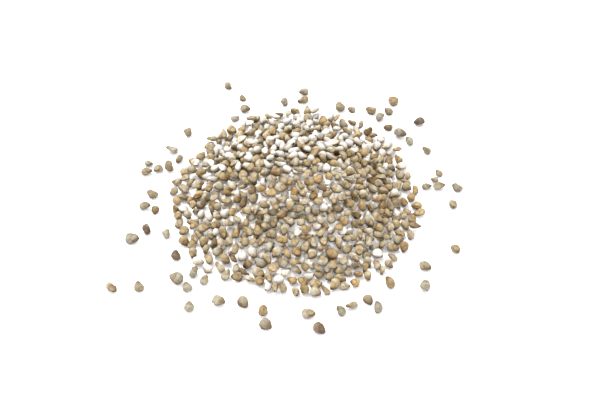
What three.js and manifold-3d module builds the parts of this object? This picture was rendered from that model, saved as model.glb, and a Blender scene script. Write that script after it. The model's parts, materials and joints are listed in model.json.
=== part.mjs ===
// A heap of pearl millet as it was poured out on a table, with the loose grains that rolled away from its foot.
// Millimetres, +Z up. The origin is the middle of the heap's flat underside, and the table is the plane z = 0.

import * as THREE from "three";
import { mergeVertices } from "three/addons/utils/BufferGeometryUtils.js";
import Module from "manifold-3d";

// Driving dimensions of the heap.
const HEAP_RADIUS = 42.8; // from the middle to the foot, but for the waves below
const HEAP_HEIGHT = 17; // from the table to the top of the grains at the crest
const CREST_ROUNDING = 0.25; // share of the radius over which the cone's point is rounded off
const FOOT_WAVES = [
  // how the foot runs in and out: depth in millimetres, lobes round the heap, turn in radians
  { depth: 0.65, lobes: 1, turn: -2.9 },
  { depth: 0.7, lobes: 2, turn: -1.6 },
  { depth: 0.7, lobes: 3, turn: -2.5 },
  { depth: 0.5, lobes: 6, turn: -2.8 },
  { depth: 0.6, lobes: 8, turn: 2.3 },
];

// Driving dimensions of a kernel, whose blunt end is egg-shaped and whose other end is a tip.
const KERNEL_LENGTH = 3.6;
const KERNEL_WIDTH = 0.76; // as a share of its length
const KERNEL_DEPTH = 0.68; // as a share of its length
const KERNEL_TAPER = 0.26; // how much narrower the tip's half is, and how much wider the blunt half
const LENGTH_SPREAD = 0.14; // kernels are up to this share longer or shorter

// How the heap is covered: a net of bumps the size of kernels, with whole kernels fused on between them.
const NET_RINGS = 22; // rings of the net, from the crest to the foot
const BUMP_HEIGHT = 1.3; // from the gaps between kernels to the top of a bump
const BUMP_SPREAD = 0.5; // how much higher or lower a bump or a gap may be
const NET_SHIFT = 0.45; // how far a corner of the net may lie off its even place
const WHOLE_LIFT = 0.7; // how far a whole kernel's middle lies above the gaps around it
const FOOT_HEIGHT = 1.1; // the core's edge, against which the lowest kernels lie
const FOOT_INSET = 1.9; // how far inside the foot's outline that edge is
const FOOT_SCALLOP = 0.9; // how far every other corner of the edge stands out
const RIM_KERNELS = 54; // whole kernels that lie on the table all along the foot
const RIM_INSET = 1.2; // how far inside the foot's outline their middles lie
const RIM_SPREAD = 0.5;
const RANDOM_SEED = 31;

// Kernels from the palest to the darkest.
const TONES = {
  cream: 0xd8ccb2,
  tan: 0xbfa97f,
  golden: 0xb08d55,
  brown: 0x7d6445,
};

// The kernels that lie apart on each side: x, y, the tip's direction in degrees from +X, length and tone.
const STRAYS = {
  back: [
    [-25, 57, -50, 3.2, "tan"],
    [-19.5, 50.3, -45, 2.8, "tan"],
    [-18.5, 44.2, 160, 3.7, "tan"],
    [-22, 40, 30, 3.2, "cream"],
    [-4.5, 48.5, 80, 3.5, "tan"],
    [2.4, 53.6, 20, 3.4, "tan"],
    [2.1, 49.6, 200, 3.9, "golden"],
    [15.3, 45.5, 95, 4.2, "tan"],
    [19.6, 44.3, -20, 2.8, "cream"],
    [26.4, 43.9, 150, 3.8, "golden"],
    [29.8, 40.2, 45, 3.7, "tan"],
    [32.9, 43.2, -40, 3.2, "tan"],
    [34.4, 48.8, 120, 4.2, "golden"],
    [32.2, 34.8, 185, 3.2, "golden"],
    [43.4, 37.3, 180, 3.8, "brown"],
    [36.4, 30.9, 150, 4.4, "cream"],
    [39.5, 27.4, -60, 3.4, "tan"],
    [44.8, 22.8, 135, 3.4, "tan"],
  ],
  left: [
    [-38.3, 32, 80, 3.9, "tan"],
    [-43.5, 22.6, -20, 4.2, "cream"],
    [-40.9, 18.3, -110, 3.2, "tan"],
    [-43.7, 14.6, -70, 4.0, "golden"],
    [-47.6, 13.7, 60, 3.6, "cream"],
    [-50.9, 16.4, 150, 2.9, "tan"],
    [-51.4, 12.3, 180, 3.7, "tan"],
    [-48.7, 1.7, 150, 4.0, "tan"],
    [-50.6, -4.4, 180, 3.6, "cream"],
    [-47.2, -5.9, -90, 3.1, "golden"],
    [-49, -15.3, -80, 3.8, "brown"],
    [-53.5, -19, 165, 4.6, "tan"],
    [-42.6, -16.8, 80, 3.6, "tan"],
    [-38.9, -26.1, -80, 3.7, "brown"],
    [-38.2, -36, 150, 4.6, "tan"],
    [-34.7, -39.4, 100, 3.9, "cream"],
    [-49.6, -39.3, -70, 3.6, "tan"],
    [-58, -40.3, -45, 3.8, "tan"],
  ],
  front: [
    [-33, -33.7, 240, 3.7, "tan"],
    [-29.4, -36.6, 250, 3.5, "cream"],
    [-33.3, -47.5, 90, 3.8, "tan"],
    [-24.3, -45.5, 150, 4.2, "cream"],
    [-16.6, -46.2, -55, 4.1, "cream"],
    [-10.5, -49.2, 90, 3.9, "golden"],
    [-9.6, -55, 140, 4.2, "tan"],
    [3.6, -50.3, 160, 4.3, "cream"],
    [7.2, -56.5, -50, 4.2, "brown"],
    [13.6, -49.6, -60, 3.5, "tan"],
    [16.9, -46.9, 20, 3.7, "tan"],
    [22.3, -44.9, -60, 3.5, "tan"],
    [24.9, -48.1, -80, 3.8, "cream"],
    [29.4, -38.1, -60, 4.0, "golden"],
  ],
  right: [
    [40.8, -30.9, 135, 4.1, "tan"],
    [40.3, -39.1, 90, 4.2, "cream"],
    [51, -24, 110, 3.6, "tan"],
    [52, -3.7, 90, 3.6, "tan"],
    [48.6, 11.7, -60, 2.8, "tan"],
    [46.8, 8.5, 0, 2.6, "cream"],
    [43.9, 5.4, 180, 3.2, "tan"],
    [48.1, 5.2, 180, 4.0, "tan"],
    [54, 4.8, 140, 3.8, "tan"],
  ],
};

const wasm = await Module();
wasm.setup();
THREE.MathUtils.seededRandom(RANDOM_SEED);

// A seeded draw, even between two values.
function draw(low, high) {
  return low + (high - low) * THREE.MathUtils.seededRandom();
}

function drawLength() {
  return KERNEL_LENGTH * (1 + draw(-LENGTH_SPREAD, LENGTH_SPREAD));
}

// How far the heap's foot lies from the middle, in a direction.
function footReach(angle) {
  let reach = HEAP_RADIUS;
  for (const { depth, lobes, turn } of FOOT_WAVES) {
    reach += depth * Math.sin(lobes * angle + turn);
  }
  return reach;
}

// The slope's height at a share of the way from the middle to the foot: a cone with its point rounded off.
function slopeHeight(share) {
  const cone = (s) => Math.hypot(s, CREST_ROUNDING);
  return (HEAP_HEIGHT * (cone(1) - cone(share))) / (cone(1) - cone(0));
}

function toSolid(geometry) {
  geometry.deleteAttribute("normal");
  geometry.deleteAttribute("uv");
  const merged = mergeVertices(geometry, 1e-4);
  return new wasm.Manifold(
    new wasm.Mesh({
      numProp: 3,
      vertProperties: merged.attributes.position.array,
      triVerts: new Uint32Array(merged.index.array),
    }),
  );
}

function toGeometry(solid) {
  const { vertProperties, triVerts } = solid.getMesh();
  const geometry = new THREE.BufferGeometry();
  geometry.setAttribute(
    "position",
    new THREE.BufferAttribute(new Float32Array(vertProperties), 3),
  );
  geometry.setIndex(new THREE.BufferAttribute(new Uint32Array(triVerts), 1));
  geometry.computeVertexNormals();
  return geometry;
}

// One kernel along X with its tip at +X: a ball drawn out, flattened, and tapered to the tip. It is rolled about
// its length, its tip is raised by a tilt, and then it is turned to its heading.
function kernel(length, { sides, rings, roll, tilt, heading }) {
  const geometry = new THREE.SphereGeometry(0.5, sides, rings);
  geometry.rotateZ(-Math.PI / 2);
  const corners = geometry.attributes.position;
  for (let i = 0; i < corners.count; i++) {
    const along = corners.getX(i);
    const girth = 1 - 2 * KERNEL_TAPER * along;
    corners.setXYZ(
      i,
      length * along,
      length * KERNEL_WIDTH * girth * corners.getY(i),
      length * KERNEL_DEPTH * girth * corners.getZ(i),
    );
  }
  return geometry.rotateX(roll).rotateY(-tilt).rotateZ(heading);
}

// Moves a kernel to x, y so that its lowest corner touches the table.
function layOnTable(geometry, x, y) {
  geometry.computeBoundingBox();
  return geometry.translate(x, y, -geometry.boundingBox.min.z);
}

// The heap without its whole kernels, and the seats that are left for them. Its slope is a net of triangles, with
// six more corners in each ring than in the one before. Every third corner is a bump and those around it are gaps,
// and every fourth bump is the seat of a whole kernel, so both are spread evenly.
function heapCore() {
  const corners = [0, 0, HEAP_HEIGHT];
  const triangles = [];
  const seats = [];
  const firstOf = (ring) => (ring === 0 ? 0 : 1 + 3 * ring * (ring - 1));
  const cornerOf = (ring, step) =>
    ring === 0 ? 0 : firstOf(ring) + (step % (6 * ring));

  for (let ring = 1; ring <= NET_RINGS; ring++) {
    for (let step = 0; step < 6 * ring; step++) {
      const sector = Math.floor(step / ring);
      const along = step - sector * ring;
      const row = ring + (sector % 2 ? ring - along : along);
      const onEdge = ring === NET_RINGS;
      const isBump = row % 3 === 0 && !onEdge;
      const isSeat = row % 6 === 0 && ring % 2 === 0 && !onEdge;
      const scallop = onEdge && step % 2 ? FOOT_SCALLOP : 0;
      const angle = (2 * Math.PI * step) / (6 * ring);
      const reach =
        (footReach(angle) - FOOT_INSET) * (ring / NET_RINGS) + scallop;
      const x = reach * Math.cos(angle) + draw(-NET_SHIFT, NET_SHIFT);
      const y = reach * Math.sin(angle) + draw(-NET_SHIFT, NET_SHIFT);
      const gap = slopeHeight(ring / NET_RINGS) - BUMP_HEIGHT;
      let z = Math.max(gap, FOOT_HEIGHT) + draw(0, BUMP_SPREAD);
      if (isSeat) {
        seats.push(new THREE.Vector3(x, y, z + WHOLE_LIFT));
      } else if (isBump) {
        z += BUMP_HEIGHT;
      }
      corners.push(x, y, z);
    }
    for (let sector = 0; sector < 6; sector++) {
      for (let i = 0; i < ring; i++) {
        const outer = cornerOf(ring, sector * ring + i);
        const outerNext = cornerOf(ring, sector * ring + i + 1);
        const inner = cornerOf(ring - 1, sector * (ring - 1) + i);
        triangles.push(outer, outerNext, inner);
        if (i < ring - 1) {
          const innerNext = cornerOf(ring - 1, sector * (ring - 1) + i + 1);
          triangles.push(outerNext, innerNext, inner);
        }
      }
    }
  }

  // The edge goes straight down to the table, where a flat underside closes the core.
  const around = 6 * NET_RINGS;
  const edge = firstOf(NET_RINGS);
  const base = edge + around;
  const middle = base + around;
  for (let step = 0; step < around; step++) {
    const [x, y] = corners.slice(3 * (edge + step));
    corners.push(x, y, 0);
    const next = (step + 1) % around;
    triangles.push(edge + step, base + step, base + next);
    triangles.push(edge + step, base + next, edge + next);
    triangles.push(base + step, middle, base + next);
  }
  corners.push(0, 0, 0);

  const geometry = new THREE.BufferGeometry();
  geometry.setAttribute(
    "position",
    new THREE.Float32BufferAttribute(corners, 3),
  );
  geometry.setIndex(triangles);
  return { core: toSolid(geometry), seats };
}

// The heap: its core with the whole kernels of the slope and of the rim fused on.
function heapGeometry() {
  const { core, seats } = heapCore();
  let heap = core;
  const fewSides = { sides: 5, rings: 3 };
  for (const seat of seats) {
    const shape = kernel(drawLength(), {
      ...fewSides,
      roll: draw(-Math.PI, Math.PI),
      tilt: draw(-0.6, 0.4),
      heading: draw(-Math.PI, Math.PI),
    });
    heap = heap.add(toSolid(shape.translate(seat.x, seat.y, seat.z)));
  }
  for (let i = 0; i < RIM_KERNELS; i++) {
    const angle = (2 * Math.PI * (i + draw(-0.2, 0.2))) / RIM_KERNELS;
    const reach = footReach(angle) - RIM_INSET + draw(-RIM_SPREAD, RIM_SPREAD);
    const shape = kernel(drawLength(), {
      ...fewSides,
      roll: draw(-Math.PI, Math.PI),
      tilt: draw(-0.3, 0.1),
      heading: draw(-Math.PI, Math.PI),
    });
    layOnTable(shape, reach * Math.cos(angle), reach * Math.sin(angle));
    heap = heap.add(toSolid(shape));
  }
  return toGeometry(heap);
}

function materialOf(color) {
  return new THREE.MeshStandardMaterial({
    color,
    roughness: 0.7,
    metalness: 0,
  });
}

const millet = new THREE.Group();
const heapMesh = new THREE.Mesh(heapGeometry(), materialOf(TONES.tan));
heapMesh.name = "millet_heap";
millet.add(heapMesh);

for (const [side, places] of Object.entries(STRAYS)) {
  places.forEach(([x, y, heading, length, tone], i) => {
    const shape = kernel(length, {
      sides: 5,
      rings: 4,
      roll: draw(-0.5, 0.5),
      tilt: -0.15,
      heading: THREE.MathUtils.degToRad(heading),
    });
    const mesh = new THREE.Mesh(
      layOnTable(shape, x, y),
      materialOf(TONES[tone]),
    );
    mesh.name = `stray_${side}_${i + 1}`;
    millet.add(mesh);
  });
}

export default millet;
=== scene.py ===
"""A heap of pearl millet as it was poured out on a table, with loose kernels round its foot.

Fourteen kernels are shaped in edit mode, and copies of them are poured one by one over a mound.
"""

import json
import math

import bmesh
import bpy
import numpy as np
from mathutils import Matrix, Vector


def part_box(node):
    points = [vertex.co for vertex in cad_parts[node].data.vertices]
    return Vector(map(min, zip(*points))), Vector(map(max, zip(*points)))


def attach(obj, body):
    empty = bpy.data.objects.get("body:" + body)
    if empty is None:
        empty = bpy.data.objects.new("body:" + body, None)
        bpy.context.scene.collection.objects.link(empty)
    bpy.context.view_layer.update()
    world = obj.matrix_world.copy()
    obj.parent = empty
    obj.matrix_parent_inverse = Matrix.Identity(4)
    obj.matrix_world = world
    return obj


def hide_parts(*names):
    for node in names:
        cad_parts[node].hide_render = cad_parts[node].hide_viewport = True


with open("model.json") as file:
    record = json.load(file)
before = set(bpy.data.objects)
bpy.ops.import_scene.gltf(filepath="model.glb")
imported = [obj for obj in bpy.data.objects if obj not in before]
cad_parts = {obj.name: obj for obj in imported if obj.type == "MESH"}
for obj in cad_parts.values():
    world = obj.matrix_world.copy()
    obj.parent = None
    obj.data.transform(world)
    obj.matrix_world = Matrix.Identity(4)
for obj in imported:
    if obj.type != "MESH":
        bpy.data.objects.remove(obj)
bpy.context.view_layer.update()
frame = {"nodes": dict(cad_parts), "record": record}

bl_info = {
    "name": "Heap of Millet",
    "version": (1, 0, 0),
    "blender": (4, 5, 0),
    "location": "View3D > Sidebar > Millet",
    "description": "Pours a heap of millet kernels over the packed model and lays the loose ones round it",
    "category": "Object",
}

MM = 0.001

HEAP_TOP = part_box("millet_heap")[1][2]
STRAY_NODES = sorted(name for name in frame["nodes"] if name.startswith("stray_"))

# How the heap's foot runs in and out, as in the solids: depth in metres, lobes round the heap, and turn
# in radians.
FOOT_WAVES = (
    (0.65 * MM, 1, -2.9),
    (0.7 * MM, 2, -1.6),
    (0.7 * MM, 3, -2.5),
    (0.5 * MM, 6, -2.8),
    (0.6 * MM, 8, 2.3),
)

RAGGED_LOBES = (11, 17, 29, 43)  # how many bays each wave cuts into the foot, finer than in the solids

# The pale far slope and the tanner near one meet along a line across the crest, which bends back on
# both sides. The far slope's paleness is painted light, where it faces the key light.
MEETING_X = -10 * MM  # where the line comes nearest to the viewer
MEETING_BACK = 6 * MM  # the near slope's last trace behind the line
MEETING_WIDTH = 10 * MM  # over which one slope's kernels give way to the other's
BEND_LEFT, BEND_RIGHT = 0.1, 0.4  # how steeply the line runs back

# How the kernels are poured.
NET_CELL = 0.25 * MM  # the net of heights that stands for the ground
PLACES_PER_TRY = 220
FAILURES_TO_STOP = 400
MOST_KERNELS = 4000
EDGE_INSET = 1.3 * MM  # the outermost kernels' middles lie this far inside the foot
TOP_ALLOWANCE = 0.3 * MM  # a kernel may stand this far above the slope
DEEP_ENOUGH = 2.5 * MM  # depth under the slope beyond which no place is better than another
INWARD_PULL = 0.03  # how much a place nearer to the middle is preferred
NEAR_FOOT_DROP = 0.2  # share by which the foot is lower on the near side

# The mound inside starts as a ball, of which half is kept.
MOUND_SIDES, MOUND_RINGS = 240, 180
NEAR_ZERO = 1e-4  # of the ball's radius: corners no higher or lower than this are on its equator

# Which kernels count as low, and which as seen only in the gaps between others.
LOW_KERNEL = 3 * MM
LOW_NEAR_SHARE = 0.6  # of the low kernels of the far side, those coloured like the near slope's
GAP_DEPTH = 1.4 * MM
GAP_REACH = 0.82  # share of the radius beyond which there are no gaps

# A kernel from its blunt end to its tip: how far along it each ring of corners is, and its girth there.
KERNEL_RINGS = (
    (0.04, 0.50),
    (0.16, 0.84),
    (0.33, 1.0),
    (0.52, 0.94),
    (0.70, 0.74),
    (0.86, 0.47),
    (0.96, 0.25),
)
KERNEL_SIDES = 9
KERNEL_LEAN = 0.05  # how far a kernel's middle may bend to one side, as a share of its length
FLATS_PER_KERNEL = 3  # sides that its neighbours in the ear pressed flat
FLAT_REACH = 0.28  # half the length of such a side, as a share of the kernel's
FLAT_MIDDLES = (0.25, 0.6)  # between which places along the kernel its middle lies
FLAT_FACING = 0.75  # cosine of the angle from its middle to its edge, round the kernel
GERM_MIDDLE = 0.66  # along the kernel
GERM_LENGTH = 0.25  # from its middle to its end, as a share of the kernel's length
GERM_WIDTH = 0.62  # as a share of the kernel's width
GERM_DENTED = 0.8  # share of the germ, from its middle, that lies deeper

# The forms that kernels come in: length, width and depth, as shares of the mean length, and how many
# of each.
KERNEL_FORMS = {
    "plump": (1.0, 0.84, 0.76, 5),
    "slender": (1.12, 0.70, 0.62, 3),
    "round": (0.92, 0.88, 0.82, 3),
    "flat": (1.04, 0.86, 0.60, 3),
}

# The kinds by colour: the blunt end, the tip's half, the germ and the record's slot. The colours are
# defaults.
KERNEL_KINDS = {
    "white": ((0.78, 0.77, 0.75), (0.58, 0.53, 0.45), (0.62, 0.56, 0.465), "kernel_cream"),
    "pale": ((0.46, 0.415, 0.33), (0.35, 0.28, 0.165), (0.42, 0.34, 0.21), "kernel_cream"),
    "cream": ((0.37, 0.335, 0.25), (0.20, 0.14, 0.06), (0.33, 0.26, 0.145), "kernel_cream"),
    "tan": ((0.31, 0.255, 0.148), (0.185, 0.118, 0.042), (0.32, 0.235, 0.105), "kernel_tan"),
    "golden": ((0.305, 0.22, 0.098), (0.18, 0.10, 0.028), (0.33, 0.212, 0.07), "kernel_golden"),
    "brown": ((0.17, 0.116, 0.055), (0.10, 0.057, 0.022), (0.135, 0.08, 0.03), "kernel_brown"),
}
KERNEL_PARTS = {"blunt": "blunt end", "tip": "half near the tip", "germ": "germ"}
SCAR_BROWN = (0.04, 0.025, 0.012)
BLOTCH_BROWN = (0.70, 0.58, 0.42)  # what the husk is multiplied by in its blotches
PAINTED_UNDERSIDE_SHADE = (0.34, 0.21, 0.10)  # painted shade: what the husk is multiplied by low on a kernel
PAINTED_TOP_LIGHT = (0.46, 0.445, 0.415)  # painted light: the whiter upper side of the pale kernels

# Where one colour of a kernel gives way to the next. Along it, 0 is the blunt end and 1 the tip. Down it,
# 0 is its top and 1 its underside. Across the germ, 0 is the germ's middle and 1 its edge.
TIP_ALONG = (0.42, 0.88)
SCAR_ALONG = (0.93, 0.98)
SEAM_ACROSS, GERM_ACROSS = (1.45, 1.0), (1.0, 0.7)
PAINTED_UNDERSIDE_DOWN, PAINTED_TOP_LIGHT_DOWN = (0.42, 0.72), (0.48, 0.12)
BLOTCH_EDGES = (0.35, 0.7)  # of the noise that blotches the husk
BLOTCH_SCALE, WRINKLE_SCALE = 900.0, 3500.0  # blotches and wrinkles to the metre
WRINKLE_DEPTH = 0.08 * MM

KERNEL_CREASE, CORE_CREASE = math.radians(48), math.radians(60)  # steeper edges stay sharp

FAR_CORE, NEAR_CORE = (0.52, 0.42, 0.28), (0.93, 0.92, 0.90)  # the mound inside, seen through the gaps
FAR_CORE_FROM, NEAR_CORE_FROM = 12 * MM, 4 * MM  # where along Y each is reached
HEAP_TONES = (0.82, 1.12)  # how much darker or paler than its kind a kernel of the heap is
STRAY_TONES = (0.56, 0.82)

# The loose kernels are as plump and long as those of the picture, a little more than their solids.
STRAY_GIRTH = 1.2
STRAY_GIRTH_SPREAD = 0.15
STRAY_LENGTH = 1.08
STRAY_CREAM_SHARE = 0.5  # of the tan ones, those that are greyer
STRAY_ROLL = 0.3  # how far a germ may turn from facing straight up or down

# The picture that the camera repeats.
PICTURE_WIDTH = 594  # pixels
FOCAL_LENGTH = 1290  # pixels
SENSOR_WIDTH = 36  # mm
CAMERA_ELEVATION = math.radians(46)
CAMERA_DISTANCE = 430 * MM
CAMERA_AIM = Vector((0, -5 * MM, 0))
TABLE_SIZE = 6  # metres
TABLE_DROP = 0.02 * MM  # keeps the table off the heap's flat underside
TABLE_WHITE = (0.93, 0.93, 0.93, 1)

# How the kinds are shared out: on the near slope and on the far one, at the surface and in the gaps below it.
KIND_SHARES = {
    ("near", "surface"): {"pale": 0.05, "cream": 0.31, "tan": 0.39, "golden": 0.22, "brown": 0.03},
    ("near", "gaps"): {"white": 0.78, "cream": 0.22},
    # painted light: the far slope, which faces the key light, is mostly pale kernels
    ("far", "surface"): {"pale": 0.62, "cream": 0.18, "tan": 0.12, "golden": 0.08},
    ("far", "gaps"): {"pale": 0.3, "cream": 0.35, "tan": 0.2, "golden": 0.15},
}


# ---------------------------------------------------------------------------------------------- settings


class MilletKernelSettings(bpy.types.PropertyGroup):
    length: bpy.props.FloatProperty(
        name="Length",
        description="Mean length of a kernel, from its blunt end to its tip",
        default=3.75 * MM,
        unit="LENGTH",
    )
    spread: bpy.props.FloatProperty(
        name="Spread",
        description="How much longer or shorter than the mean a kernel may be",
        default=0.14,
        subtype="FACTOR",
    )
    unevenness: bpy.props.FloatProperty(
        name="Unevenness",
        description="How far the corners of a kernel lie off its even form",
        default=0.07 * MM,
        unit="LENGTH",
    )
    flats: bpy.props.FloatProperty(
        name="Flats",
        description="How deep the sides are pressed in that touched other kernels in the ear",
        default=0.27 * MM,
        unit="LENGTH",
    )
    germ_dent: bpy.props.FloatProperty(
        name="Germ dent",
        description="How deep the germ lies in the kernel's side",
        default=0.18 * MM,
        unit="LENGTH",
    )


class MilletHeapSettings(bpy.types.PropertyGroup):
    radius: bpy.props.FloatProperty(
        name="Radius",
        description="From the middle of the heap to its foot",
        default=42.8 * MM,
        unit="LENGTH",
    )
    height: bpy.props.FloatProperty(
        name="Height",
        description="From the table to the top of the kernels at the crest",
        default=HEAP_TOP - TOP_ALLOWANCE,
        unit="LENGTH",
    )
    crest_rounding: bpy.props.FloatProperty(
        name="Crest rounding",
        description="Share of the radius over which the cone's point is rounded off",
        default=0.25,
        subtype="FACTOR",
    )
    foot_height: bpy.props.FloatProperty(
        name="Foot height",
        description="How high the kernels along the foot reach",
        default=3.9 * MM,
        unit="LENGTH",
    )
    raggedness: bpy.props.FloatProperty(
        name="Raggedness",
        description="How deep each wave of bays cuts into the foot, as a share of the radius",
        default=0.03,
        subtype="FACTOR",
    )
    cover: bpy.props.FloatProperty(
        name="Cover",
        description="How deep the loose kernels lie over the mound inside, on the far side",
        default=6.0 * MM,
        unit="LENGTH",
    )
    near_cover: bpy.props.FloatProperty(
        name="Near cover",
        description="The same on the near side, where the pale mound shows between the kernels",
        default=5.8 * MM,
        unit="LENGTH",
    )
    mound_rise: bpy.props.FloatProperty(
        name="Mound rise",
        description="How far the mound fills the gaps between the lowest kernels, on the near side",
        default=1.6 * MM,
        unit="LENGTH",
    )
    lump_size: bpy.props.FloatProperty(
        name="Lump size",
        description="How wide the lumps of the mound inside are, as deep kernels seen through the gaps",
        default=3.0 * MM,
        unit="LENGTH",
    )
    lump_height: bpy.props.FloatProperty(
        name="Lump height",
        description="How far those lumps stand out",
        default=1.4 * MM,
        unit="LENGTH",
    )
    tumble: bpy.props.FloatProperty(
        name="Tumble",
        description="How far kernels lie off the slope, from 0, flat on it, to 1, any way",
        default=0.5,
        subtype="FACTOR",
    )
    seed: bpy.props.IntProperty(
        name="Seed",
        description="Start of the random draws",
        default=11,
    )


class MilletColorSettings(bpy.types.PropertyGroup):
    __annotations__ = {
        f"{kind}_{part}": bpy.props.FloatVectorProperty(
            name=f"{kind.capitalize()} {part}",
            description=f"Colour of the {title} of the {kind} kernels",
            default=colors[number],
            size=3,
            min=0,
            max=1,
            subtype="COLOR",
        )
        for kind, colors in KERNEL_KINDS.items()
        for number, (part, title) in enumerate(KERNEL_PARTS.items())
    }


class MilletLightSettings(bpy.types.PropertyGroup):
    key: bpy.props.FloatProperty(
        name="Key",
        description="Strength of the light from the back left",
        default=3.0,
    )
    fill: bpy.props.FloatProperty(
        name="Fill",
        description="Strength of the even light from all round",
        default=1.75,
    )
    azimuth: bpy.props.FloatProperty(
        name="Azimuth",
        description="How far to the left of the back the key light stands",
        default=math.radians(40),
        subtype="ANGLE",
    )
    elevation: bpy.props.FloatProperty(
        name="Elevation",
        description="How high the key light stands",
        default=math.radians(58),
        subtype="ANGLE",
    )
    softness: bpy.props.FloatProperty(
        name="Softness",
        description="How wide the key light looks from the heap",
        default=math.radians(18),
        subtype="ANGLE",
    )


# ----------------------------------------------------------------------------------------------- helpers


def deselect_all():
    for thing in bpy.context.selected_objects:
        thing.select_set(False)


def new_material(name):
    """A new material, its node tree and its shader."""
    material = bpy.data.materials.new(name)
    material.use_nodes = True
    return material, material.node_tree, material.node_tree.nodes["Principled BSDF"]


def add_node(tree, kind, links=None, **values):
    """A node with its settings and socket values set, and other sockets linked into it."""
    node = tree.nodes.new(kind)
    for name, value in values.items():
        setattr(node, name, value)
    for socket, source in (links or {}).items():
        if isinstance(source, bpy.types.NodeSocket):
            tree.links.new(source, node.inputs[socket])
        else:
            node.inputs[socket].default_value = source
    return node


def mix_colors(tree, share, first, second, blend="MIX"):
    """The colour socket of a mix of two colours, each a socket or a triple."""
    links = {0: share}
    for socket, color in ((6, first), (7, second)):
        links[socket] = color if isinstance(color, bpy.types.NodeSocket) else (*color, 1.0)
    return add_node(tree, "ShaderNodeMix", links, data_type="RGBA", blend_type=blend).outputs[2]


def step_between(tree, value, low, high):
    """A socket that goes smoothly from 0 at low to 1 at high."""
    links = {"Value": value, "From Min": low, "From Max": high}
    return add_node(tree, "ShaderNodeMapRange", links, interpolation_type="SMOOTHSTEP").outputs["Result"]


def read_attribute(tree, name):
    return add_node(tree, "ShaderNodeAttribute", attribute_name=name).outputs["Fac"]


# ------------------------------------------------------------------------------------------------ kernels


def kernel_material(kind):
    """Husk: paler at the blunt end, darker to the tip, with a dark scar there and a germ on one side. Painted
    shade darkens each kernel low down, and painted light whitens the upper side of the pale kernels.
    """
    colors = bpy.context.scene.millet_color
    blunt, tip, germ = (tuple(getattr(colors, f"{kind}_{part}")) for part in KERNEL_PARTS)
    material, tree, shader = new_material(f"millet_{kind}")
    place = add_node(tree, "ShaderNodeTexCoord").outputs["Object"]
    along = read_attribute(tree, "along")
    tone = read_attribute(tree, "tone")
    germ_edge = read_attribute(tree, "germ")

    husk = mix_colors(tree, step_between(tree, along, *TIP_ALONG), blunt, tip)
    seam = step_between(tree, germ_edge, *SEAM_ACROSS)
    husk = mix_colors(tree, seam, husk, mix_colors(tree, 0.7, husk, [0.7 * value for value in tip]))
    husk = mix_colors(tree, step_between(tree, germ_edge, *GERM_ACROSS), husk, germ)
    blotch = add_node(
        tree,
        "ShaderNodeTexNoise",
        {"Vector": place, "Scale": BLOTCH_SCALE, "Detail": 3.0},
    )
    blotches = step_between(tree, blotch.outputs["Fac"], *BLOTCH_EDGES)
    husk = mix_colors(tree, blotches, husk, mix_colors(tree, 1.0, husk, BLOTCH_BROWN, "MULTIPLY"))
    husk = add_node(tree, "ShaderNodeVectorMath", {0: husk, "Scale": tone}, operation="SCALE").outputs[0]
    under = read_attribute(tree, "under")
    # Painted light: the pale kernels are whiter on their upper side.
    if kind == "pale":
        husk = mix_colors(tree, step_between(tree, under, *PAINTED_TOP_LIGHT_DOWN), husk, PAINTED_TOP_LIGHT)
    # Painted shade: the husk is darker low on each kernel, towards its underside.
    painted_underside = step_between(tree, under, *PAINTED_UNDERSIDE_DOWN)
    husk = mix_colors(tree, painted_underside, husk, mix_colors(tree, 1.0, husk, PAINTED_UNDERSIDE_SHADE, "MULTIPLY"))
    husk = mix_colors(tree, step_between(tree, along, *SCAR_ALONG), husk, SCAR_BROWN)
    tree.links.new(husk, shader.inputs["Base Color"])

    wrinkle = add_node(
        tree,
        "ShaderNodeTexNoise",
        {"Vector": place, "Scale": WRINKLE_SCALE, "Detail": 4.0},
    )
    bump = add_node(
        tree,
        "ShaderNodeBump",
        {"Strength": 0.35, "Distance": WRINKLE_DEPTH, "Height": wrinkle.outputs["Fac"]},
    )
    tree.links.new(bump.outputs[0], shader.inputs["Normal"])
    shader.inputs["Roughness"].default_value = 0.5
    shader.inputs["Specular IOR Level"].default_value = 0.5
    return material


def press(mesh, chosen, facing, depth):
    """Moves the chosen corners inward from a direction round the kernel."""
    for vertex, is_chosen in zip(mesh.verts, chosen):
        vertex.select_set(bool(is_chosen))
    mesh.select_flush_mode()
    bpy.ops.transform.translate(value=(-depth * math.cos(facing), -depth * math.sin(facing), 0))


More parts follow.
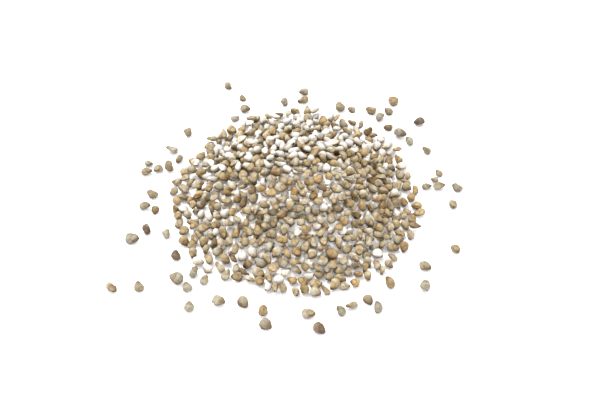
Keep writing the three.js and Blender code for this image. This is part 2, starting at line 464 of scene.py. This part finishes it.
def model_kernel(length, width, depth, settings, seed):
    """Shapes one kernel in edit mode, tip up along Z and middle at the origin, and gives its arrays."""
    deselect_all()
    bpy.ops.mesh.primitive_uv_sphere_add(
        segments=KERNEL_SIDES,
        ring_count=len(KERNEL_RINGS) + 1,
        radius=0.5,
        calc_uvs=False,
    )
    kernel = bpy.context.object
    bpy.ops.object.mode_set(mode="EDIT")
    mesh = bmesh.from_edit_mesh(kernel.data)
    mesh.verts.ensure_lookup_table()
    heights = sorted({round(v.co.z, 4) for v in mesh.verts})
    ring_of = [heights.index(round(v.co.z, 4)) for v in mesh.verts]
    lean = KERNEL_LEAN * length * math.sin(2.4 * seed)

    for number, (along, girth) in enumerate(KERNEL_RINGS, start=1):
        for vertex in mesh.verts:
            vertex.select_set(ring_of[vertex.index] == number)
        mesh.select_flush_mode()
        ring = [v for v in mesh.verts if v.select]
        widest = 2 * math.hypot(ring[0].co.x, ring[0].co.y)
        bpy.ops.transform.resize(
            value=(width * girth / widest, depth * girth / widest, 1),
            center_override=(0, 0, ring[0].co.z),
        )
        bpy.ops.transform.translate(
            value=(lean * math.sin(math.pi * along), 0, (along - 0.5) * length - ring[0].co.z),
        )
    for number, end in ((0, -0.5), (len(KERNEL_RINGS) + 1, 0.5)):
        for vertex in mesh.verts:
            vertex.select_set(ring_of[vertex.index] == number)
        mesh.select_flush_mode()
        pole = next(v for v in mesh.verts if v.select)
        bpy.ops.transform.translate(value=(0, 0, end * length - pole.co.z))

    # Its neighbours in the ear pressed some sides flat, and the germ lies in a dent.
    rng = np.random.default_rng(seed)
    along = np.array([v.co.z / length + 0.5 for v in mesh.verts])
    around = np.array([math.atan2(v.co.y / depth, v.co.x / width) for v in mesh.verts])
    for facing in rng.uniform(0, 2 * math.pi, FLATS_PER_KERNEL):
        facing_it = np.cos(around - facing) > FLAT_FACING
        beside_it = abs(along - rng.uniform(*FLAT_MIDDLES)) < FLAT_REACH
        press(mesh, facing_it & beside_it, facing, settings.flats)
    out = 2 * np.array([v.co.x / width for v in mesh.verts])
    germ = np.hypot((along - GERM_MIDDLE) / GERM_LENGTH, out / GERM_WIDTH)
    germ = np.where(np.sin(around) > 0, germ, 2)
    press(mesh, germ < GERM_DENTED, 0.5 * math.pi, settings.germ_dent)
    bpy.ops.mesh.select_all(action="SELECT")
    bpy.ops.transform.vertex_random(offset=settings.unevenness, seed=seed)
    bpy.ops.object.mode_set(mode="OBJECT")

    corners = np.array([v.co for v in kernel.data.vertices])
    faces = [tuple(face.vertices) for face in kernel.data.polygons]
    bpy.data.meshes.remove(kernel.data)
    return {
        "corners": corners,
        "faces": faces,
        "along": along,
        "germ": germ,
        "half": 0.5 * np.array([width, depth, length]),
    }


def model_all_kernels(settings):
    """Every shape that kernels come in."""
    shapes = []
    for length, width, depth, count in KERNEL_FORMS.values():
        for _ in range(count):
            sizes = [share * settings.length for share in (length, width, depth)]
            shapes.append(model_kernel(*sizes, settings, seed=len(shapes) + 1))
    return shapes


def join_kernels(name, kernels, shapes, kind):
    """One piece of many kernels, each a shape with a turn, a size, a place and a tone.

    A kernel that would reach below the table is lifted onto it.
    """
    corners, faces, along, germ, tones, under = [], [], [], [], [], []
    count = 0
    for kernel in kernels:
        shape = shapes[kernel["shape"]]
        placed = kernel["size"] * shape["corners"] @ kernel["turn"].T + kernel["place"]
        placed[:, 2] -= min(0, placed[:, 2].min())
        corners.append(placed)
        faces.extend(tuple(i + count for i in face) for face in shape["faces"])
        along.append(shape["along"])
        germ.append(shape["germ"])
        tones.append(np.full(len(placed), kernel["tone"]))
        under.append((placed[:, 2].max() - placed[:, 2]) / np.ptp(placed[:, 2]))
        count += len(placed)
    mesh = bpy.data.meshes.new(name)
    mesh.from_pydata(np.concatenate(corners).tolist(), [], faces)
    for attribute, values in (("along", along), ("germ", germ), ("tone", tones), ("under", under)):
        layer = mesh.attributes.new(attribute, "FLOAT", "POINT")
        layer.data.foreach_set("value", np.concatenate(values))
    mesh.polygons.foreach_set("use_smooth", [True] * len(mesh.polygons))
    mesh.update()
    mesh.set_sharp_from_angle(angle=KERNEL_CREASE)
    mesh.materials.append(kernel_material(kind))
    piece = bpy.data.objects.new(name, mesh)
    bpy.context.collection.objects.link(piece)
    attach(piece, "root")
    return piece


# ------------------------------------------------------------------------------------------------ the heap


def foot_reach(angle, settings):
    """How far the heap's foot lies from the middle, in a direction."""
    reach = settings.radius + 0 * angle
    for depth, lobes, turn in FOOT_WAVES:
        reach = reach + depth * np.sin(lobes * angle + turn)
    return reach


def slope_height(x, y, settings):
    """The height of the kernels' tops over each place, and how far out it is as a share of the reach.

    The tops lie on a cone with its point rounded off.
    """
    rounding = settings.crest_rounding
    share = np.hypot(x, y) / foot_reach(np.arctan2(y, x), settings)
    cone = math.hypot(1, rounding) - np.hypot(share, rounding)
    return settings.height * cone / (math.hypot(1, rounding) - rounding), share


def near_share(x, y):
    """How much a place belongs to the near slope, from 1 in front of the meeting line to 0 behind it."""
    beside = x - MEETING_X
    behind = y - BEND_RIGHT * np.maximum(beside, 0) - BEND_LEFT * np.maximum(-beside, 0)
    share = np.clip((MEETING_BACK - behind) / MEETING_WIDTH, 0, 1)
    return share * share * (3 - 2 * share)


def mound_height(x, y, settings, rise=0):
    """The height of the mound inside, under the kernels' cover, and higher by the rise on the near side."""
    cover = settings.cover + (settings.near_cover - rise - settings.cover) * near_share(x, y)
    return np.maximum(slope_height(x, y, settings)[0] - cover, 0)


def mound_reach(angles, settings):
    """How far from the middle the mound inside meets the table, in each direction."""
    reach = np.linspace(0, 1, 201)[:, None] * foot_reach(angles, settings)
    heights = mound_height(reach * np.cos(angles), reach * np.sin(angles), settings, settings.mound_rise)
    return (heights > 0).mean(axis=0) * foot_reach(angles, settings)


def random_turn(rng, slope_normal, tumble):
    """A turn that lays a kernel's length near the slope, in any direction, its germ more often up."""
    normal = np.array(slope_normal)
    way = rng.normal(size=3)
    way -= normal * (way @ normal)
    way /= np.linalg.norm(way)
    way += normal * rng.normal() * tumble
    way /= np.linalg.norm(way)
    side = np.cross(way, rng.normal(size=3) - normal)
    side /= np.linalg.norm(side)
    return np.stack([side, np.cross(way, side), way], axis=1)


def pour_kernels(settings, shapes, kernel_settings):
    """Drops kernels one by one, each at the best of some drawn places, until they find no more room.

    The best place is deep under the slope and near the middle. The ground is a net of heights. A kernel
    counts as an ellipsoid: it comes to rest where its underside first touches the ground, and then its
    upper side is ground for the next one.
    """
    rng = np.random.default_rng(settings.seed)
    reach = settings.radius + kernel_settings.length
    line = np.arange(-reach, reach + NET_CELL, NET_CELL)
    grid_x, grid_y = np.meshgrid(line, line)
    slope, share = slope_height(grid_x, grid_y, settings)
    foot = settings.foot_height * (1 - NEAR_FOOT_DROP * near_share(grid_x, grid_y))
    angles = np.arctan2(grid_y, grid_x)
    ragged = sum(np.sin(lobes * angles + lobes) for lobes in RAGGED_LOBES) * settings.raggedness
    tops = np.where(share + ragged < 1, np.maximum(slope, foot), 0) + TOP_ALLOWANCE
    ground = mound_height(grid_x, grid_y, settings)
    normals = np.stack([*(-g for g in np.gradient(slope, NET_CELL)[::-1]), np.ones_like(slope)], axis=-1)
    normals /= np.linalg.norm(normals, axis=-1, keepdims=True)

    kernels = []
    failures = 0
    while failures < FAILURES_TO_STOP and len(kernels) < MOST_KERNELS:
        angle = rng.uniform(0, 2 * math.pi, PLACES_PER_TRY)
        distance = (foot_reach(angle, settings) - EDGE_INSET) * np.sqrt(rng.uniform(0, 1, PLACES_PER_TRY))
        columns = np.rint((distance * np.cos(angle) + reach) / NET_CELL).astype(int)
        rows = np.rint((distance * np.sin(angle) + reach) / NET_CELL).astype(int)
        shape_number = int(rng.integers(len(shapes)))
        size = 1 + rng.uniform(-1, 1) * kernel_settings.spread
        half = size * shapes[shape_number]["half"]
        turn = random_turn(rng, normals[rows[0], columns[0]], settings.tumble)

        # The ellipsoid's upper and lower side over each cell that it covers.
        span = int(np.ceil(half.max() / NET_CELL))
        near = np.arange(-span, span + 1)
        dx, dy = np.meshgrid(near * NET_CELL, near * NET_CELL)
        form = turn @ np.diag(1 / half**2) @ turn.T
        lift = form[0, 2] * dx + form[1, 2] * dy
        flat = form[0, 0] * dx**2 + 2 * form[0, 1] * dx * dy + form[1, 1] * dy**2 - 1
        root = lift**2 - form[2, 2] * flat
        inside = root > 0
        root = np.sqrt(np.where(inside, root, 0))
        upper = np.where(inside, (-lift + root) / form[2, 2], -1)
        lower = np.where(inside, (-lift - root) / form[2, 2], 1)

        patch_rows = rows[:, None, None] + near[None, :, None]
        patch_columns = columns[:, None, None] + near[None, None, :]
        rests = (ground[patch_rows, patch_columns] - lower).max(axis=(1, 2))
        room = tops[rows, columns] - (rests + upper[inside].max())
        best = int((np.minimum(room, DEEP_ENOUGH) - INWARD_PULL * distance).argmax())
        if room[best] < 0:
            best = int(room.argmax())
        if room[best] < 0:
            failures += 1
            continue
        failures = 0
        row, column, height = rows[best], columns[best], rests[best]
        window = np.s_[row - span : row + span + 1, column - span : column + span + 1]
        ground[window] = np.where(inside, np.maximum(ground[window], height + upper), ground[window])
        kernels.append(
            {
                "shape": shape_number,
                "size": size,
                "turn": turn,
                "place": np.array([line[column], line[row], height]),
                "depth": room[best],
                "out": share[row, column],
                "tone": rng.uniform(*HEAP_TONES),
            }
        )
    return kernels


def choose_kind(kernel, rng):
    """The kind of a kernel, by its side of the heap, its height and its depth under the slope."""
    x, y, height = kernel["place"]
    low_share = LOW_NEAR_SHARE if height < LOW_KERNEL else 0
    side = "near" if rng.uniform() < max(near_share(x, y), low_share) else "far"
    layer = "gaps" if kernel["depth"] > GAP_DEPTH and kernel["out"] < GAP_REACH else "surface"
    shares = KIND_SHARES[side, layer]
    return rng.choice(list(shares), p=list(shares.values()))


class OBJECT_OT_millet_mound(bpy.types.Operator):
    """Shapes the mound inside the heap, which the kernels are poured over"""

    bl_idname = "object.millet_mound"
    bl_label = "Mound Inside"

    def execute(self, context):
        settings = context.scene.millet_heap
        deselect_all()
        bpy.ops.mesh.primitive_uv_sphere_add(
            segments=MOUND_SIDES,
            ring_count=MOUND_RINGS,
            radius=1,
            calc_uvs=False,
        )
        mound = context.object
        mound.name = mound.data.name = "heap_core"
        bpy.ops.object.mode_set(mode="EDIT")
        mesh = bmesh.from_edit_mesh(mound.data)

        # The lower half of the ball goes, and a flat face closes the upper one.
        for vertex in mesh.verts:
            vertex.select_set(vertex.co.z < -NEAR_ZERO)
        mesh.select_flush_mode()
        bpy.ops.mesh.delete(type="VERT")
        mesh = bmesh.from_edit_mesh(mound.data)
        for vertex in mesh.verts:
            vertex.select_set(vertex.co.z < NEAR_ZERO)
        mesh.select_flush_mode()
        bpy.ops.mesh.edge_face_add()

        # Its corners move out to the mound's reach and up to its height.
        mesh = bmesh.from_edit_mesh(mound.data)
        ball = np.array([v.co for v in mesh.verts])
        angles = np.arctan2(ball[:, 1], ball[:, 0])
        out = 2 * np.arccos(np.clip(ball[:, 2], 0, 1)) / math.pi
        reach = mound_reach(angles, settings) * out
        x, y = reach * np.cos(angles), reach * np.sin(angles)
        tops = mound_height(x, y, settings, settings.mound_rise) * (ball[:, 2] > NEAR_ZERO)
        for vertex, corner in zip(mesh.verts, np.stack([x, y, tops], axis=1)):
            vertex.co = corner
        bmesh.update_edit_mesh(mound.data)
        bpy.ops.mesh.select_all(action="SELECT")
        bpy.ops.mesh.normals_make_consistent(inside=False)
        bpy.ops.object.mode_set(mode="OBJECT")

        top = mound.vertex_groups.new(name="top")
        for vertex in mound.data.vertices:
            top.add([vertex.index], min(1, vertex.co.z / settings.lump_size), "REPLACE")
        lumps = bpy.data.textures.new("deep_kernels", "VORONOI")
        lumps.noise_scale = settings.lump_size
        raised = mound.modifiers.new("deep_kernels", "DISPLACE")
        raised.texture = lumps
        raised.vertex_group = top.name
        raised.strength = -settings.lump_height
        raised.mid_level = 0.4
        bpy.ops.object.modifier_apply(modifier=raised.name)
        bpy.ops.object.shade_smooth()
        mound.data.set_sharp_from_angle(angle=CORE_CREASE)
        material, tree, shader = new_material("millet_core")
        place = add_node(tree, "ShaderNodeTexCoord").outputs["Object"]
        y = add_node(tree, "ShaderNodeSeparateXYZ", {"Vector": place}).outputs["Y"]
        near = step_between(tree, y, FAR_CORE_FROM, NEAR_CORE_FROM)
        shade = mix_colors(tree, near, FAR_CORE, NEAR_CORE)
        tree.links.new(shade, shader.inputs["Base Color"])
        shader.inputs["Roughness"].default_value = 0.8
        mound.data.materials.append(material)
        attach(mound, "root")
        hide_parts("millet_heap")
        return {"FINISHED"}


class OBJECT_OT_millet_pour(bpy.types.Operator):
    """Pours the kernels over the mound and joins each kind into one piece"""

    bl_idname = "object.millet_pour"
    bl_label = "Heap of Kernels"

    def execute(self, context):
        scene = context.scene
        shapes = model_all_kernels(scene.millet_kernel)
        kernels = pour_kernels(scene.millet_heap, shapes, scene.millet_kernel)
        rng = np.random.default_rng(scene.millet_heap.seed + 1)
        sorted_out = {kind: [] for kind in KERNEL_KINDS}
        for kernel in kernels:
            sorted_out[choose_kind(kernel, rng)].append(kernel)
        for kind, some in sorted_out.items():
            piece = join_kernels(f"heap_kernels_{kind}", some, shapes, kind)
            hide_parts("millet_heap")
        return {"FINISHED"}


# ---------------------------------------------------------------------------------------------- the strays


class OBJECT_OT_millet_strays(bpy.types.Operator):
    """Lays a kernel in place of each loose one of the solids, tip for tip"""

    bl_idname = "object.millet_strays"
    bl_label = "Loose Kernels"

    def execute(self, context):
        settings = context.scene.millet_kernel
        rng = np.random.default_rng(context.scene.millet_heap.seed + 2)
        shapes = model_all_kernels(settings)
        slot_of = {row["node"]: row["material_slot"] for row in frame["record"]["subparts"]}
        sorted_out = {}
        for name in STRAY_NODES:
            solid = frame["nodes"][name]
            corners = np.array([solid.matrix_world @ v.co for v in solid.data.vertices])
            middle = 0.5 * (corners.min(axis=0) + corners.max(axis=0))
            tip = corners[np.linalg.norm(corners - corners.mean(axis=0), axis=1).argmax()]
            way = tip - corners.mean(axis=0)
            way /= np.linalg.norm(way)
            length = np.ptp(corners @ way)
            across = np.cross((0, 0, 1), way)
            girth = np.ptp(corners @ (across / np.linalg.norm(across))) / length
            misfit = [abs(shape["half"][0] / shape["half"][2] - STRAY_GIRTH * girth) for shape in shapes]
            shape_number = int(np.argmin(misfit + rng.uniform(0, STRAY_GIRTH_SPREAD, len(shapes))))
            shape = shapes[shape_number]

            # Two germs in three face up, and the others down.
            side = rng.choice((-1, -1, 1)) * np.cross(way, (0, 0, 1)) + STRAY_ROLL * rng.normal(size=3)
            side -= way * (side @ way)
            side /= np.linalg.norm(side)
            turn = np.stack([side, np.cross(way, side), way], axis=1)
            size = STRAY_LENGTH * length / (2 * shape["half"][2])
            drop = (size * shape["corners"] @ turn.T)[:, 2].min()
            kind = slot_of[name].removeprefix("kernel_")
            if kind == "tan" and rng.uniform() < STRAY_CREAM_SHARE:
                kind = "cream"
            sorted_out.setdefault(kind, []).append(
                {
                    "shape": shape_number,
                    "size": size,
                    "turn": turn,
                    "place": np.array([middle[0], middle[1], -drop]),
                    "tone": rng.uniform(*STRAY_TONES),
                    "node": name,
                }
            )
        for kind, some in sorted_out.items():
            piece = join_kernels(f"stray_kernels_{kind}", some, shapes, kind)
            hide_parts(*(kernel["node"] for kernel in some))
        return {"FINISHED"}


# ----------------------------------------------------------------------------------------------- the stage


class OBJECT_OT_millet_stage(bpy.types.Operator):
    """Sets the white table, the soft studio light and the camera of the picture"""

    bl_idname = "object.millet_stage"
    bl_label = "Table, Light and Camera"

    def execute(self, context):
        scene = context.scene
        settings = scene.millet_light
        deselect_all()
        bpy.ops.mesh.primitive_plane_add(size=TABLE_SIZE, location=(0, 0, -TABLE_DROP))
        table = context.object
        table.name = "table"
        material, _, shader = new_material("white_table")
        shader.inputs["Base Color"].default_value = TABLE_WHITE
        shader.inputs["Roughness"].default_value = 0.9
        shader.inputs["Specular IOR Level"].default_value = 0.1
        table.data.materials.append(material)

        world = bpy.data.worlds.new("studio")
        scene.world = world
        world.use_nodes = True
        world.node_tree.nodes["Background"].inputs["Color"].default_value = (1, 1, 1, 1)
        world.node_tree.nodes["Background"].inputs["Strength"].default_value = settings.fill

        sun = bpy.data.lights.new("key", "SUN")
        sun.energy = settings.key
        sun.angle = settings.softness
        lamp = bpy.data.objects.new("key", sun)
        context.collection.objects.link(lamp)
        level = math.cos(settings.elevation)
        toward = Vector(
            (
                -math.sin(settings.azimuth) * level,
                math.cos(settings.azimuth) * level,
                math.sin(settings.elevation),
            )
        )
        lamp.rotation_euler = toward.to_track_quat("Z", "Y").to_euler()

        camera = bpy.data.cameras.new("picture")
        camera.sensor_width = SENSOR_WIDTH
        camera.lens = SENSOR_WIDTH * FOCAL_LENGTH / PICTURE_WIDTH
        eye = bpy.data.objects.new("picture", camera)
        context.collection.objects.link(eye)
        away = Vector((0, -math.cos(CAMERA_ELEVATION), math.sin(CAMERA_ELEVATION)))
        eye.location = CAMERA_AIM + CAMERA_DISTANCE * away
        eye.rotation_euler = away.to_track_quat("Z", "Y").to_euler()
        camera.clip_start = 0.01
        scene.camera = eye
        scene.view_settings.view_transform = "Standard"
        return {"FINISHED"}


class VIEW3D_PT_millet(bpy.types.Panel):
    bl_label = "Heap of Millet"
    bl_idname = "VIEW3D_PT_millet"
    bl_space_type = "VIEW_3D"
    bl_region_type = "UI"
    bl_category = "Millet"

    def draw(self, context):
        for name, cls in SETTINGS.items():
            box = self.layout.box()
            for value in cls.__annotations__:
                box.prop(getattr(context.scene, name), value)
        for operator in OPERATORS:
            self.layout.operator(operator.bl_idname)


OPERATORS = (
    OBJECT_OT_millet_stage,
    OBJECT_OT_millet_mound,
    OBJECT_OT_millet_pour,
    OBJECT_OT_millet_strays,
)
SETTINGS = {
    "millet_kernel": MilletKernelSettings,
    "millet_heap": MilletHeapSettings,
    "millet_color": MilletColorSettings,
    "millet_light": MilletLightSettings,
}


def register():
    for cls in (*SETTINGS.values(), *OPERATORS, VIEW3D_PT_millet):
        bpy.utils.register_class(cls)
    for name, cls in SETTINGS.items():
        setattr(bpy.types.Scene, name, bpy.props.PointerProperty(type=cls))


def unregister():
    for name in SETTINGS:
        delattr(bpy.types.Scene, name)
    for cls in reversed((*SETTINGS.values(), *OPERATORS, VIEW3D_PT_millet)):
        bpy.utils.unregister_class(cls)


def main():
    register()
    bpy.ops.object.millet_stage()
    bpy.ops.object.millet_mound()
    bpy.ops.object.millet_pour()
    bpy.ops.object.millet_strays()


if __name__ == "__main__":
    main()
